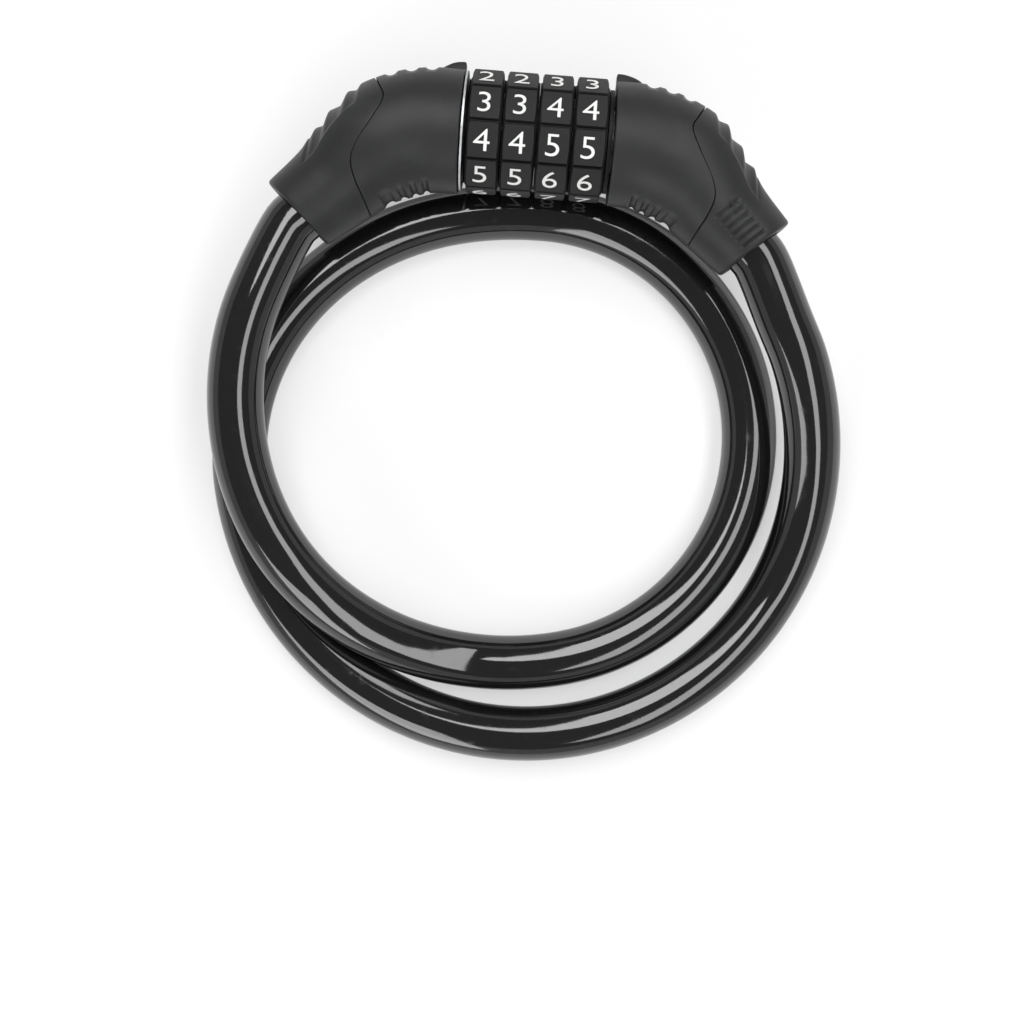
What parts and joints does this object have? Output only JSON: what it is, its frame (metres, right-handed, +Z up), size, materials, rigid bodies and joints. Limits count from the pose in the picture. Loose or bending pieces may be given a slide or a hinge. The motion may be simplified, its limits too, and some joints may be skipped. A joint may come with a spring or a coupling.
{
  "type": "combination cable lock",
  "caption": "Coiling combination cable lock: ten-faced dials between a bent lock body and a pull-out plug, joined by a thick covered steel cable that lies in a coil.",
  "frame": {"origin": "on the cable's flat underside, where the inner turn passes beneath the dials, midway between the head's two elbows", "axes": "+X along the axis of the dials, from the lock body to the plug; +Y in plan away from the middle of the coil; +Z up, with the cable lying on z = 0"},
  "size_m": [0.136, 0.1472, 0.0341],
  "materials": {
    "cover_plastic": "satin charcoal grey moulding",
    "dial_plastic": "finely textured black, with white numbers",
    "jacket_vinyl": "glossy black",
    "bright_steel": "bright turned steel",
    "zinc_steel": "zinc plated",
    "spring_steel": "blackened strip",
    "brass": "machined"
  },
  "bodies": {
    "lock_body": {"body_cover": "cover_plastic", "body_sleeve": "cover_plastic", "slotted_barrel": "zinc_steel", "detent_spring": "spring_steel", "thrust_washer": "bright_steel", "retaining_ring": "spring_steel", "body_rivet": "bright_steel", "body_ferrule": "zinc_steel", "cable_jacket": "jacket_vinyl", "cable_core": "zinc_steel"},
    "dial_1_unit": {"dial_1": "dial_plastic", "clutch_ring_1": "brass"},
    "dial_2_unit": {"dial_2": "dial_plastic", "clutch_ring_2": "brass"},
    "dial_3_unit": {"dial_3": "dial_plastic", "clutch_ring_3": "brass"},
    "dial_4_unit": {"dial_4": "dial_plastic", "clutch_ring_4": "brass"},
    "plug": {"plug_cover": "cover_plastic", "plug_sleeve": "cover_plastic", "toothed_pin": "bright_steel", "plug_rivet": "bright_steel", "plug_ferrule": "zinc_steel"}
  },
  "joints": [
    {"name": "dial_1_turn", "type": "hinge", "parent": "lock_body", "child": "dial_1_unit", "pos_m": [0, 0.0128, 0.0212], "axis": [1, 0, 0], "continuous": true},
    {"name": "dial_2_turn", "type": "hinge", "parent": "lock_body", "child": "dial_2_unit", "pos_m": [0, 0.0128, 0.0212], "axis": [1, 0, 0], "continuous": true},
    {"name": "dial_3_turn", "type": "hinge", "parent": "lock_body", "child": "dial_3_unit", "pos_m": [0, 0.0128, 0.0212], "axis": [1, 0, 0], "continuous": true},
    {"name": "dial_4_turn", "type": "hinge", "parent": "lock_body", "child": "dial_4_unit", "pos_m": [0, 0.0128, 0.0212], "axis": [1, 0, 0], "continuous": true},
    {"name": "plug_slide", "type": "slide", "parent": "lock_body", "child": "plug", "axis": [1, 0, 0], "range_m": [0, 0.036], "deforming": ["cable_jacket", "cable_core"]}
  ]
}
